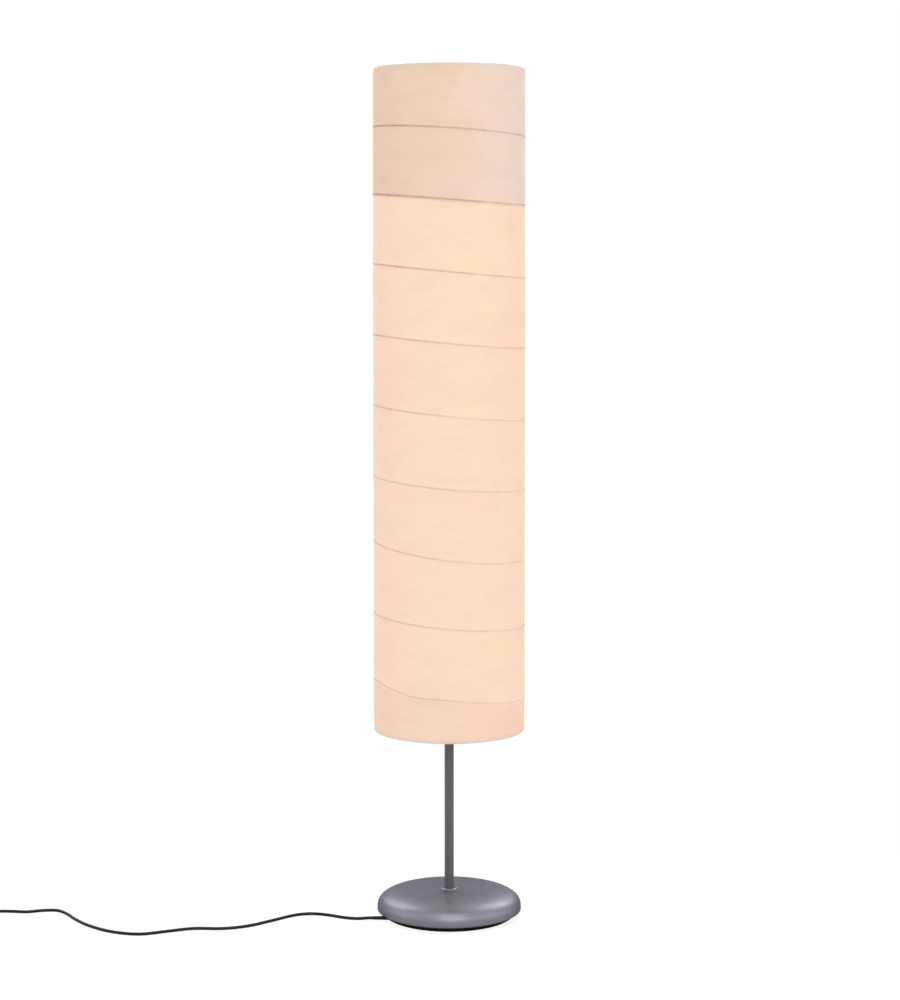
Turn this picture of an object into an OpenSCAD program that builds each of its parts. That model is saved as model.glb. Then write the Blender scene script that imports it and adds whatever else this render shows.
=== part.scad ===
// Paper lantern floor lamp: a tall paper cylinder hung on a steel stem over a pebble-shaped base.
// Millimetres. The origin is on the floor under the stem, +Z is up, and +X is to the right of
// someone who stands in front of the lamp at -Y.

/* [Shade] */
// Outside diameter of the paper cylinder
shade_d = 220; // [216:1:230]
// Height of the shade's lower rim above the floor
shade_low_z = 275; // [266:1:284]
// Height of the paper cylinder
shade_h = 962; // [956:1:970]
// Thickness of the pasted paper skin
paper_t = 0.5; // [0.4:0.1:0.8]
// Height from the lower rim to the lowest hoop, on the axis
first_hoop_h = 60; // [56:1:64]
// Height from one hoop to the next
hoop_pitch = 102; // [98:1:103]
// Thickness of the hoops' wire
hoop_wire_d = 1.8; // [1.4:0.2:2.2]
// Thickness of the wire of the two rims and their arms
rim_wire_d = 3; // [2.6:0.2:3.6]

/* [Stem] */
// Outside diameter of the stem tube
stem_d = 13.6; // [12.8:0.2:14.4]
// Wall of the stem tube
stem_wall = 1.2; // [1:0.1:1.4]
// Height of the joint between the lower and the middle tube
lower_joint_z = 440; // [430:1:460]
// Height of the joint between the middle and the upper tube
upper_joint_z = 790; // [770:1:800]
// Drop from the upper rim to the top of the stem
stem_drop = 34.5; // [32:0.5:40]

/* [Base] */
// Widest diameter of the base
base_d = 211; // [209:1:216]
// Height of the base at its middle
base_h = 38.5; // [38:0.5:42]
// Height of the widest place above the floor
base_waist_z = 9.5; // [9.5:0.5:11]
// Thickness of the spun cover
cover_t = 1.6; // [1.2:0.1:2]
// Outside diameter of the plate under the base
plate_d = 190; // [186:1:191]
// Outside diameter of the cast weight
weight_d = 168; // [160:1:172]

/* [Lights] */
// Height of the lowest light's arm
first_light_z = 380; // [370:1:390]
// Height from one light to the next
light_pitch = 240; // [230:1:250]
// Distance of each light from the middle of the stem
light_reach = 38; // [37:0.5:42]
// Diameter of a bulb's globe
bulb_d = 45; // [43:0.5:46]

/* [Cord] */
// Diameter of the cord
cord_d = 4.5; // [4.3:0.1:4.5]
// Height of the cord where it leaves the base
cord_exit_z = 4.6; // [4.5:0.1:4.7]
// Travel of the foot switch's button
button_travel = 2.5; // [2:0.1:3]

/* [Hidden] */

$fn = 96;
far = 400;                                   // longer than anything that a cutter passes through
air = 0.3;                                   // gap between pieces that move apart
ease = 0.1;                                  // gap round a screw, a cord or a sleeve in its hole

steel_grey = "#737580";
satin_grey = "#8c8e99";
near_black = "#1a1a1c";
paper_warm = "#fcdcc2";
wire_tan = "#b9a58e";
bright_zinc = "#c4c6ca";
raw_brass = "#c9a75a";
opal_white = "#fff6e6";

shade_r = shade_d / 2;
shade_top_z = shade_low_z + shade_h;
rim_wire_r = rim_wire_d / 2;
hoop_wire_r = hoop_wire_d / 2;
rim_r = shade_r - paper_t - rim_wire_r - ease;  // middle of the rims' wire
hoop_r = shade_r - paper_t - hoop_wire_r;    // middle of the hoops' wire
// Each hoop was set by hand, so it sits a little high or low, leans to the right and nods
hoop_drift = [2, 2.5, 3, -1, -2.1, -1, -1.4, -1, -5.6];
hoop_lean = [7, 5, 6.9, 5, 5.7, 5.3, 5.3, 4.3, 3.6];
hoop_nod = [0, 0.4, 3, 1.4, 0.2, 0.2, 0.4, 0.8, -0.5];
hoop_count = len(hoop_drift);
paper_gap = 0.2;                             // between one strip's edge and the next, under the seam

stem_r = stem_d / 2;
stem_bore_r = stem_r - stem_wall;
stem_top_z = shade_top_z - stem_drop;
stem_low_z = 12.5;
joint_gap = 0.2;
coupler_h = 30;
coupler_room = 1;                            // room left round the wires inside a coupler
foot_washer_t = 1.5;
foot_nut_r = 12.5;                           // to the corners of its hexagon
foot_nut_h = 6.5;
stud_socket_h = 16;                          // plug in the stem's top that carries the stud
wire_way_r = 1.5;                            // holes that carry a light's wires
main_wire_r = 1.9;
branch_wire_r = 1.1;
wire_thin = 0.2;                             // a wire's far half is this much thinner

seat_washer_t = 2;
seat_washer_r = 13;
hub_low_z = stem_top_z + seat_washer_t + air;
hub_t = 3;
hub_r = 15;
stud_r = 4;
nut_low_z = hub_low_z + hub_t + air;
shade_nut_h = 10;
shade_nut_r = 10;
knurl_count = 30;
stud_top_z = nut_low_z + shade_nut_h + 5;
shade_nut_cone_h = 3;                        // height of the nut's turned top
knurl_depth = 0.5;
arm_wire_r = rim_wire_r - 0.3;               // the cross arms are a little thinner than the rim

base_r = base_d / 2;
dome_power = 3.3;                            // 2 would be an ellipse: more is flatter on top
dome_step = 6;
lip_r = 97.5;                                // where the cover's edge turns in under the base
lip_z = 7;
pad_t = 1.2;
plate_t = 1;
plate_r = plate_d / 2;
plate_wall = 2;
flange_r = lip_r + 1;
flange_t = 1.3;
weight_r = weight_d / 2;
weight_low_z = 12;
weight_clear = 2;                            // between the casting and the spun cover
weight_pocket_r = 16;
weight_pocket_z = 22;
weight_neck_z = 24;                          // from here up the casting stands round the stem
plate_screw_r = 2;
plate_screw_l = 18;
plate_screw_at = 62;                         // distance of the screws from the axis
plate_screw_count = 3;
screw_head_r = 3.8;
screw_head_h = 1;
pad_in_r = plate_screw_at + 8;
boss_r = 6;
collar_r = 13;
collar_h = 1.6;
gland_r = 2.9;
gland_in_x = -82;
gland_neck = 12;                             // straight part, before the sleeve tapers
notch_r = gland_r + 0.15;                    // the sleeve's way through the plate and the cover
notch_in_x = gland_in_x + 2;
clamp_x = -70;
clamp_half = 4;                              // half of the clamp's length along the cord
clamp_w = 20;
clamp_h = 6.5;
clamp_screw_y = 6.5;                         // distance of its screws from the cord
clamp_screw_r = 1.5;
clamp_head_r = 2.8;
clamp_head_h = 1.6;
block_x = [-56, -34];                        // ends of the terminal block
block_w = 14;
block_h = 8;

light_count = 3;
arm_collar_r = 10.5;
arm_collar_h = 14;
arm_r = 3.2;
arm_disc_r = 14.2;
arm_disc_t = 4;                              // half of the disc's thickness
collar_screw_r = 1.9;
collar_screw_out = 2;                        // how far a screw stands out of its collar
holder_r = 13.6;
holder_h = 36;
holder_bore_r = 8.2;
holder_floor = 10;
holder_skirt_h = 9;
holder_ring_h = 6;                           // the threaded ring round the holder's mouth
cap_r = 6.9;
cap_tip_r = 3;
cap_h = 25;
contact_h = 2;
shell_r = [7.3, 7.9];                        // inner and outer radius of the brass screw shell
shell_h = 18;
bulb_r = bulb_d / 2;
bulb_neck_r = 7.2;
bulb_h = 47;                                 // height of the glass above its cap
bulb_wall = 1.2;

guide_z = 300;
guide_collar_h = 12;
guide_reach = rim_r - rim_wire_r - 0.7;

// The cord's route: out of the base, over the floor to the left, through the foot switch
cord_r = cord_d / 2;
floor_z = cord_r + 0.05;
exit_y = -38;
exit_x = -112;
port_z = 6;                                  // middle of the switch's ends
link_z = 3.2;                                // middle of the coil's lower layer, over its tie
cord_route = [
    [exit_x, exit_y, cord_exit_z], [-118, exit_y, cord_exit_z], [-134, -36, 3.1],
    [-154, -28, 2.4], [-179, -14, floor_z], [-203, -8, floor_z], [-227, -16, floor_z],
    [-257, -43, floor_z], [-290, -71, floor_z], [-325, -84, floor_z], [-368, -84, floor_z],
    [-404, -98, floor_z], [-442, -112, floor_z], [-484, -99, floor_z], [-520, -69, floor_z],
    [-545, -36, floor_z], [-561, -9, floor_z], [-578, 9, floor_z], [-600, 9, floor_z],
    [-621, 2, floor_z], [-641, 4, floor_z], [-660, 5, floor_z], [-674, 2, 4.2],
    [-684, 0, port_z], [-690, 0, port_z]
];
cord_steps = 3;                              // rings from one point of the route to the next
cord_sides = 8;

switch_x = -732;                             // middle of the foot switch
switch_half = 42;
switch_r = 20;
switch_base_h = 7;
switch_h = 20;
switch_wall = 2;
button_r = 13;
button_top_z = 24;
button_low_z = 14;
spring_r = 6;
switch_shoulder_h = 5;                       // straight wall of the cover, under its crown
crown_in = 4;                                // how far the crown's top draws in
cover_wall = 5;

// The spare cord: a two-layer coil that winds in, climbs, and winds out again
coil_x = -812;
coil_out_r = 36;
coil_pitch = cord_d + 0.5;
coil_turns = 7.5;
coil_y = -coil_out_r;
coil_steps = 24;
coil_sides = 6;
coil_mid = coil_turns / 2;
coil_top_z = link_z + coil_pitch;
tie_w = 8;
tie_t = 0.7;
tie_in = coil_out_r - coil_pitch * coil_mid - 0.6;
tail_y = coil_y - coil_out_r;
tail_z = coil_top_z;
relief_x = -790;                             // where the plug's tapered sleeve begins
plug_x = relief_x + 22;
plug_l = 36;
plug_w = 34;
plug_h = 14;
plug_neck_r = 5.5;
relief_r = 5;                                // of the tapered sleeve, where it meets the plug
pin_r = 2;
pin_gap = 19;
pin_l = 19;

// ---- functions ----------------------------------------------------------------------------

function hoop_z(i) = shade_low_z + first_hoop_h + i * hoop_pitch + hoop_drift[i];

// A quarter of a flattened ellipse, from its widest place up to the axis
function dome(r, low, high) = [
    for (a = [0 : dome_step : 90])
        [r * pow(cos(a), 2 / dome_power), low + (high - low) * pow(sin(a), 2 / dome_power)]
];

// Height of that curve at a radius
function dome_at(x, r, low, high) =
    low + (high - low) * pow(1 - pow(x / r, dome_power), 1 / dome_power);

function reversed(v) = [for (i = [len(v) - 1 : -1 : 0]) v[i]];

function along(v) = v / norm(v);

// A smooth curve through four neighbouring points, at t from the second to the third
function smooth_at(a, b, c, d, t) =
    0.5 * (2 * b + (c - a) * t + (2 * a - 5 * b + 4 * c - d) * t * t
    + (3 * b - a - 3 * c + d) * t * t * t);

function smooth_path(p, steps) = concat(
    [for (i = [0 : len(p) - 2], k = [0 : steps - 1])
        on_floor(smooth_at(p[max(i - 1, 0)], p[i], p[i + 1], p[min(i + 2, len(p) - 1)], k / steps))],
    [p[len(p) - 1]]
);

// The cord rests on the floor and doesn't sink into it
function on_floor(p) = [p[0], p[1], max(p[2], floor_z)];

function heading(p, i) = along(p[min(i + 1, len(p) - 1)] - p[max(i - 1, 0)]);

// One ring of a tube, square to the way that the path goes there
function tube_ring(c, way, r, sides) =
    let (side = along(cross(way, [0, 0, 1])), up = cross(side, way))
    [for (k = [0 : sides - 1]) c + r * (cos(360 * k / sides) * side + sin(360 * k / sides) * up)];

// Radius, angle and height of the coil after t turns
function coil_radius(t) = coil_out_r - coil_pitch * (coil_mid - abs(t - coil_mid));
function climb(t) = let (u = min(max(t - coil_mid + 0.25, 0) * 2, 1)) u * u * (3 - 2 * u);
function coil_at(t) = [
    coil_x + coil_radius(t) * cos(90 + 360 * t),
    coil_y + coil_radius(t) * sin(90 + 360 * t),
    link_z + coil_pitch * climb(t)
];
coil_path = concat(
    [[coil_x + cord_d, 0, link_z]],
    [for (i = [0 : coil_turns * coil_steps]) coil_at(i / coil_steps)],
    [[coil_x + cord_d, tail_y, tail_z]]
);
coil_gap = min([
    for (i = [0 : len(coil_path) - 1], j = [i + coil_steps / 2 : 1 : len(coil_path) - 1])
        norm(coil_path[i] - coil_path[j])
]) - cord_d;
echo(least_gap_of_the_coil_to_itself = coil_gap);

// ---- shared shapes ------------------------------------------------------------------------

module tube(r_out, r_in, h) {
    difference() {
        cylinder(r = r_out, h = h);
        translate([0, 0, -1]) cylinder(r = r_in, h = h + 2);
    }
}

module cylinder_between(r, from, to) {
    translate([0, 0, from]) cylinder(r = r, h = to - from);
}

module sphere_at(p, r) {
    translate(p) sphere(r = r, $fn = 32);
}

module rod_x(r, from, to) {
    translate([from, 0, 0]) rotate([0, 90, 0]) cylinder(r = r, h = to - from);
}

module wire_ring(r, wire_r) {
    rotate_extrude() translate([r, 0]) circle(r = wire_r, $fn = 32);
}

module swept_tube(path, r, sides) {
    last = len(path) - 1;
    points = concat(
        [for (i = [0 : last]) each tube_ring(path[i], heading(path, i), r, sides)],
        [path[0], path[last]]
    );
    walls = [
        for (i = [0 : last - 1], k = [0 : sides - 1])
            let (a = i * sides + k, b = i * sides + (k + 1) % sides)
            each [[a, a + sides, b], [b, a + sides, b + sides]]
    ];
    ends = [
        for (k = [0 : sides - 1])
            let (n = (k + 1) % sides, e = last * sides)
            each [[len(points) - 2, k, n], [len(points) - 1, e + n, e + k]]
    ];
    polyhedron(points = points, faces = concat(walls, ends), convexity = 10);
}

module round_the_stem(count) {
    for (k = [0 : count - 1]) rotate([0, 0, 360 * k / count]) children();
}

module at_plate_screws() {
    for (k = [0 : plate_screw_count - 1])
        rotate([0, 0, 30 + 360 * k / plate_screw_count]) translate([plate_screw_at, 0, 0]) children();
}

// The lights stand to the right, to the left and to the right of the stem again
module at_light(i) {
    translate([0, 0, first_light_z + i * light_pitch]) rotate([0, 0, 180 * (i % 2)]) children();
}

module at_gland() {
    translate([0, exit_y, cord_exit_z]) children();
}

// ---- base ---------------------------------------------------------------------------------

module foot_pad() {
    color(near_black) tube(plate_r - plate_wall, pad_in_r, pad_t);
}

module base_plate() {
    color(near_black) difference() {
        union() {
            translate([0, 0, pad_t]) cylinder(r = plate_r, h = plate_t);
            translate([0, 0, pad_t]) tube(plate_r, plate_r - plate_wall, lip_z - pad_t);
            translate([0, 0, lip_z - flange_t]) tube(flange_r, plate_r - plate_wall, flange_t);
        }
        at_plate_screws() cylinder(r = plate_screw_r + ease, h = far);
        at_gland() rod_x(notch_r, exit_x, notch_in_x);
    }
}

module plate_screws() {
    color(bright_zinc) at_plate_screws() {
        cylinder_between(screw_head_r, pad_t - screw_head_h, pad_t);
        cylinder_between(plate_screw_r, pad_t, pad_t + plate_screw_l);
    }
}

module base_weight() {
    top = dome(base_r - cover_t - weight_clear, base_waist_z, base_h - cover_t - weight_clear);
    edge_z = dome_at(weight_r, base_r - cover_t - weight_clear, base_waist_z,
        base_h - cover_t - weight_clear);
    color(near_black) difference() {
        union() {
            rotate_extrude() polygon(concat(
                [[0, weight_low_z], [weight_r, weight_low_z], [weight_r, edge_z]],
                [for (p = top) if (p[0] < weight_r) p]
            ));
            cylinder_between(weight_pocket_r, weight_neck_z, base_h - cover_t - ease);
            at_plate_screws() cylinder_between(boss_r, pad_t + plate_t, weight_low_z + 1);
        }
        cylinder_between(weight_pocket_r, 0, weight_pocket_z);
        cylinder_between(stem_r + ease, 0, base_h + 1);
        at_plate_screws() cylinder_between(plate_screw_r + ease, 0, pad_t + plate_screw_l + 2);
    }
}

module base_cover() {
    turn_out = [
        for (a = [90 : -dome_step : 1])
            [lip_r + (base_r - lip_r) * cos(a), base_waist_z - (base_waist_z - lip_z) * sin(a)]
    ];
    turn_in = [
        for (a = [90 : -dome_step : 1])
            [lip_r + (base_r - cover_t - lip_r) * cos(a),
                base_waist_z - (base_waist_z - lip_z - cover_t) * sin(a)]
    ];
    color(satin_grey) difference() {
        rotate_extrude() polygon(concat(
            turn_out, dome(base_r, base_waist_z, base_h),
            reversed(dome(base_r - cover_t, base_waist_z, base_h - cover_t)), reversed(turn_in)
        ));
        cylinder_between(stem_r + ease, 0, base_h + 1);
        at_gland() rod_x(notch_r, exit_x, notch_in_x);
    }
}

// ---- stem ---------------------------------------------------------------------------------

module stem_washer() {
    color(bright_zinc) translate([0, 0, weight_pocket_z - foot_washer_t])
        tube(seat_washer_r, stem_r + ease, foot_washer_t);
}

module stem_nut() {
    color(bright_zinc) translate([0, 0, weight_pocket_z - foot_washer_t - foot_nut_h]) difference() {
        cylinder(r = foot_nut_r, h = foot_nut_h, $fn = 6);
        translate([0, 0, -1]) cylinder(r = stem_r, h = foot_nut_h + 2);
    }
}

module foot_collar() {
    color(satin_grey) rotate_extrude() polygon([
        [stem_r, base_h], [collar_r, base_h], [collar_r - 0.4, base_h + 0.8],
        [collar_r - 2, base_h + collar_h], [stem_r, base_h + collar_h]
    ]);
}

module stem_tube(from, to) {
    translate([0, 0, from]) tube(stem_r, stem_bore_r, to - from);
}

module wire_holes() {
    for (i = [0 : light_count - 1]) at_light(i) rod_x(wire_way_r, 0, stem_r + 1);
}

module stem_lower() {
    color(steel_grey) difference() {
        stem_tube(stem_low_z, lower_joint_z);
        wire_holes();
    }
}

module stem_middle() {
    color(steel_grey) difference() {
        stem_tube(lower_joint_z + joint_gap, upper_joint_z);
        wire_holes();
    }
}

module stem_upper() {
    color(steel_grey) difference() {
        stem_tube(upper_joint_z + joint_gap, stem_top_z);
        wire_holes();
    }
}

module stem_couplers() {
    color(bright_zinc) for (z = [lower_joint_z, upper_joint_z])
        translate([0, 0, z - coupler_h / 2]) tube(stem_bore_r, main_wire_r + coupler_room, coupler_h);
}

module top_stud() {
    color(bright_zinc) {
        cylinder_between(stem_bore_r, stem_top_z - stud_socket_h, stem_top_z);
        cylinder_between(stud_r, stem_top_z - 1, stud_top_z - 1);
        translate([0, 0, stud_top_z - 1]) cylinder(r1 = stud_r, r2 = stud_r - 1, h = 1);
    }
}

module seat_washer() {
    color(bright_zinc) translate([0, 0, stem_top_z]) tube(seat_washer_r, stud_r + ease, seat_washer_t);
}

// ---- lights -------------------------------------------------------------------------------

module light_arm(i) {
    color(steel_grey) at_light(i) difference() {
        union() {
            translate([0, 0, -arm_collar_h / 2]) cylinder(r = arm_collar_r, h = arm_collar_h);
            rod_x(arm_r, stem_r, light_reach);
            translate([light_reach, 0, -arm_disc_t]) cylinder(r = arm_disc_r, h = 2 * arm_disc_t);
        }
        translate([0, 0, -arm_collar_h]) cylinder(r = stem_r + ease, h = 2 * arm_collar_h);
        rod_x(wire_way_r, 0, light_reach);
        translate([light_reach, 0, 0]) cylinder(r = wire_way_r, h = far);
        rod_x(collar_screw_r + ease, -arm_collar_r - 1, 0);
    }
}

module light_holder(i) {
    floor_at = arm_disc_t + holder_floor;
    top = arm_disc_t + holder_h;
    ring_z = top - holder_ring_h;
    color(near_black) at_light(i) translate([light_reach, 0, 0]) difference() {
        rotate_extrude() polygon([
            [0, arm_disc_t], [holder_r, arm_disc_t], [holder_r, arm_disc_t + holder_skirt_h],
            [holder_r - 1, arm_disc_t + holder_skirt_h + 1], [holder_r - 1, ring_z],
            [holder_r + 1, ring_z + 1], [holder_r + 1, top - 1], [holder_r, top], [0, top]
        ]);
        translate([0, 0, floor_at]) cylinder(r = holder_bore_r, h = far);
        cylinder(r = wire_way_r, h = far);
    }
}

module holder_contacts() {
    color(raw_brass) for (i = [0 : light_count - 1])
        at_light(i) translate([light_reach, 0, arm_disc_t + holder_floor]) {
            cylinder(r = cap_tip_r, h = contact_h);
            translate([0, 0, contact_h + 1]) tube(shell_r[1], shell_r[0], shell_h);
        }
}

module collar_screws() {
    out = -arm_collar_r - collar_screw_out;
    color(bright_zinc) {
        for (i = [0 : light_count - 1]) at_light(i) rod_x(collar_screw_r, out, -stem_r);
        translate([0, 0, guide_z]) rotate([0, 0, 45]) rod_x(collar_screw_r, out, -stem_r);
    }
}

module stem_wires() {
    top = first_light_z + (light_count - 1) * light_pitch;
    low = pad_t + plate_t + block_h / 2;
    start = [block_x[1], exit_y, low];
    color("#e8e6e0") {
        cylinder_between(main_wire_r, low - 1.5, top + branch_wire_r + 1);
        translate([0, 0, low]) rotate([0, -90, atan2(exit_y, start[0]) - 180])
            cylinder(r = main_wire_r - wire_thin, h = norm([start[0], start[1]]) - 2 * main_wire_r);
        for (i = [0 : light_count - 1]) at_light(i) {
            rod_x(branch_wire_r, 0, light_reach + branch_wire_r / 2);
            translate([light_reach, 0, -branch_wire_r / 2])
                cylinder(r = branch_wire_r - wire_thin, h = arm_disc_t + holder_floor - 2);
        }
    }
}

// One height of the bulb: the cap stands just over its contact
module at_bulb(i) {
    at_light(i) translate([light_reach, 0, arm_disc_t + holder_floor + contact_h + air]) children();
}

module bulb_cap(i) {
    color(bright_zinc) at_bulb(i) rotate_extrude() polygon([
        [0, 0], [cap_tip_r, 0], [cap_tip_r, 1.5], [cap_r - 1, 3], [cap_r, 4], [cap_r, cap_h], [0, cap_h]
    ]);
}

// The glass: a globe that runs down in a smooth waist to the cap's width
function globe_outline(r, neck, low, high) =
    let (mid = high - r, start = 48)
    concat(
        [[neck, low]],
        [for (k = [0 : 5]) let (u = k / 6, s = u * u * (3 - 2 * u))
            [neck + (r * cos(start) - neck) * s,
                low + (mid - r * sin(start) - low) * (0.25 + 0.75 * u)]],
        [for (a = [-start : 6 : 90]) [r * cos(a), mid + r * sin(a)]]
    );

module bulb_globe(i) {
    outside = globe_outline(bulb_r, bulb_neck_r, cap_h, cap_h + bulb_h);
    inside = globe_outline(bulb_r - bulb_wall, bulb_neck_r - bulb_wall, cap_h + bulb_wall,
        cap_h + bulb_h - bulb_wall);
    color(opal_white) at_bulb(i) difference() {
        rotate_extrude() polygon(concat([[0, cap_h]], outside));
        rotate_extrude() polygon(concat([[0, cap_h + bulb_wall]], inside));
    }
}

// Four wires on a collar keep the shade's lower rim in the middle
module shade_guide() {
    color(steel_grey) translate([0, 0, guide_z]) difference() {
        union() {
            translate([0, 0, -guide_collar_h / 2]) cylinder(r = arm_collar_r, h = guide_collar_h);
            round_the_stem(4) {
                rod_x(rim_wire_r, stem_r, guide_reach - rim_wire_r);
                sphere_at([guide_reach - rim_wire_r, 0, 0], rim_wire_r);
            }
        }
        translate([0, 0, -guide_collar_h]) cylinder(r = stem_r + ease, h = 2 * guide_collar_h);
        rotate([0, 0, 45]) rod_x(collar_screw_r + ease, -arm_collar_r - 1, 0);
    }
}

// ---- wiring in the base -------------------------------------------------------------------

module terminal_block() {
    color("#d9d7cf") translate([block_x[0], exit_y - block_w / 2, pad_t + plate_t])
        cube([block_x[1] - block_x[0], block_w, block_h]);
}

module inner_lead() {
    color(near_black) at_gland() rod_x(cord_r, exit_x + air, block_x[0] - air);
}

module cord_clamp() {
    low = pad_t + plate_t;
    color(near_black) difference() {
        translate([clamp_x - clamp_half, exit_y - clamp_w / 2, low])
            cube([2 * clamp_half, clamp_w, clamp_h]);
        at_gland() rod_x(cord_r + ease, gland_in_x, block_x[0]);
        translate([gland_in_x, exit_y - cord_r - ease, 0])
            cube([block_x[0] - gland_in_x, 2 * (cord_r + ease), cord_exit_z]);
        at_clamp_screws() cylinder(r = clamp_screw_r + ease, h = far);
    }
}

module at_clamp_screws() {
    for (side = [-1, 1]) translate([clamp_x, exit_y + side * clamp_screw_y, 0]) children();
}

module clamp_screws() {
    top = pad_t + plate_t + clamp_h;
    color(bright_zinc) at_clamp_screws() {
        cylinder_between(clamp_screw_r, pad_t + plate_t, top);
        cylinder_between(clamp_head_r, top, top + clamp_head_h);
    }
}

module cord_gland() {
    color(near_black) at_gland() difference() {
        union() {
            rod_x(gland_r, gland_in_x - gland_neck, gland_in_x);
            translate([exit_x, 0, 0]) rotate([0, 90, 0])
                cylinder(r1 = cord_r + 0.4, r2 = gland_r, h = gland_in_x - gland_neck - exit_x);
        }
        rod_x(cord_r + ease, exit_x - 1, 0);
    }
}

// ---- cord, switch and plug ----------------------------------------------------------------

module cord_run() {
    color(near_black) swept_tube(smooth_path(cord_route, cord_steps), cord_r, cord_sides);
}

module cord_link() {
    link = [
        [switch_x - switch_half, 0, port_z], [switch_x - switch_half - 6, 0, port_z],
        [switch_x - switch_half - 16, 0, (port_z + link_z) / 2],
        [coil_x + cord_d + 6, 0, link_z], [coil_x + cord_d, 0, link_z]
    ];
    color(near_black) swept_tube(smooth_path(link, 2), cord_r, cord_sides);
}

module cord_coil() {
    color(near_black) swept_tube(coil_path, cord_r, coil_sides);
}

module cord_tail() {
    color(near_black) translate([0, tail_y, tail_z]) rod_x(cord_r, coil_x + cord_d, relief_x);
}

module coil_tie() {
    low = link_z - cord_r - tie_t - ease;
    high = coil_top_z + cord_r + tie_t + ease;
    across = coil_out_r - tie_in + cord_r + 0.6;
    color("#3a3a3d") translate([coil_x - coil_out_r - cord_r - tie_t, coil_y - tie_w / 2, low])
        difference() {
            cube([across + cord_r + 2 * tie_t, tie_w, high - low]);
            translate([tie_t, -1, tie_t]) cube([across + cord_r, tie_w + 2, high - low - 2 * tie_t]);
        }
}

module switch_outline(grow) {
    for (side = [-1, 1]) translate([side * (switch_half - switch_r), 0]) circle(r = switch_r + grow);
    square([2 * (switch_half - switch_r), 2 * (switch_r + grow)], center = true);
}

module at_switch() {
    translate([switch_x, 0, 0]) children();
}

module switch_ports() {
    translate([0, 0, port_z]) rod_x(cord_r + ease, -switch_half - 1, switch_half + 1);
}

module switch_base() {
    color(near_black) at_switch() difference() {
        linear_extrude(switch_base_h) switch_outline(0);
        translate([0, 0, switch_wall]) linear_extrude(far) switch_outline(-switch_wall);
        switch_ports();
    }
}

module switch_cover() {
    color(near_black) at_switch() difference() {
        hull() for (side = [-1, 1]) translate([side * (switch_half - switch_r), 0, 0]) {
            translate([0, 0, switch_base_h]) cylinder(r = switch_r, h = switch_shoulder_h, $fn = 48);
            translate([-side * 1.5, 0, switch_base_h])
                cylinder(r = switch_r - crown_in, h = switch_h - switch_base_h, $fn = 48);
        }
        translate([0, 0, switch_base_h - 1])
            linear_extrude(switch_h - switch_wall - switch_base_h + 1) switch_outline(-cover_wall);
        cylinder(r = button_r + air, h = far);
        switch_ports();
    }
}

module switch_button() {
    color("#2b2b2e") at_switch() rotate_extrude() polygon([
        [0, button_low_z], [button_r, button_low_z], [button_r, button_top_z - 2],
        [button_r - 2, button_top_z], [button_r - 6, button_top_z + 0.4], [0, button_top_z - 0.6]
    ]);
}

module switch_spring() {
    color(bright_zinc) at_switch() translate([0, 0, switch_wall])
        tube(spring_r, spring_r - 1, button_low_z - switch_wall);
}

module plug_body() {
    color(near_black) translate([0, tail_y, tail_z]) {
        translate([relief_x, 0, 0]) rotate([0, 90, 0])
            cylinder(r1 = cord_r + 0.7, r2 = relief_r, h = plug_x - relief_x);
        hull() {
            translate([plug_x, 0, 0]) rotate([0, 90, 0]) cylinder(r = plug_neck_r, h = 2, $fn = 32);
            for (side = [-1, 1]) translate([plug_x, side * (plug_w - plug_h) / 2, 0])
                rotate([0, 90, 0]) cylinder(r = plug_h / 2, h = plug_l, $fn = 32);
        }
    }
}

module plug_pins() {
    color(bright_zinc) for (side = [-1, 1])
        translate([0, tail_y + side * pin_gap / 2, tail_z]) {
            rod_x(pin_r, plug_x + plug_l, plug_x + plug_l + pin_l - 1);
            translate([plug_x + plug_l + pin_l - 1, 0, 0]) rotate([0, 90, 0])
                cylinder(r1 = pin_r, r2 = pin_r - 0.7, h = 1);
        }
}

// ---- shade --------------------------------------------------------------------------------

module top_frame() {
    rise = shade_top_z - rim_wire_r - (hub_low_z + hub_t / 2);
    run = rim_r - hub_r + 2.4;
    color(wire_tan) difference() {
        union() {
            translate([0, 0, shade_top_z - rim_wire_r]) wire_ring(rim_r, rim_wire_r);
            translate([0, 0, hub_low_z]) cylinder(r = hub_r, h = hub_t);
            round_the_stem(4) translate([hub_r - 2, 0, hub_low_z + hub_t / 2])
                rotate([0, atan2(run, rise), 0]) cylinder(r = arm_wire_r, h = norm([run, rise]));
        }
        cylinder_between(stud_r + air, hub_low_z - 1, hub_low_z + far);
    }
}

module low_rim() {
    color(wire_tan) translate([0, 0, shade_low_z + rim_wire_r]) wire_ring(rim_r, rim_wire_r);
}

module at_hoop(i) {
    translate([0, 0, hoop_z(i)]) rotate([hoop_nod[i], hoop_lean[i], 0]) children();
}

module wire_hoops() {
    color(wire_tan) for (i = [0 : hoop_count - 1]) at_hoop(i) wire_ring(hoop_r, hoop_wire_r);
}

// Strip i runs from hoop i - 1 to hoop i, and from rim to hoop at the two ends
module paper_band(i) {
    low = i == 0 ? shade_low_z : hoop_z(i - 1) - hoop_pitch / 3;
    high = i == hoop_count ? shade_top_z : hoop_z(i) + hoop_pitch / 3;
    color(paper_warm) difference() {
        translate([0, 0, low]) tube(shade_r, shade_r - paper_t, high - low);
        if (i > 0) at_hoop(i - 1)
            translate([-shade_d, -shade_d, paper_gap / 2 - far]) cube([2 * shade_d, 2 * shade_d, far]);
        if (i < hoop_count) at_hoop(i)
            translate([-shade_d, -shade_d, -paper_gap / 2]) cube([2 * shade_d, 2 * shade_d, far]);
    }
}

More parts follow.
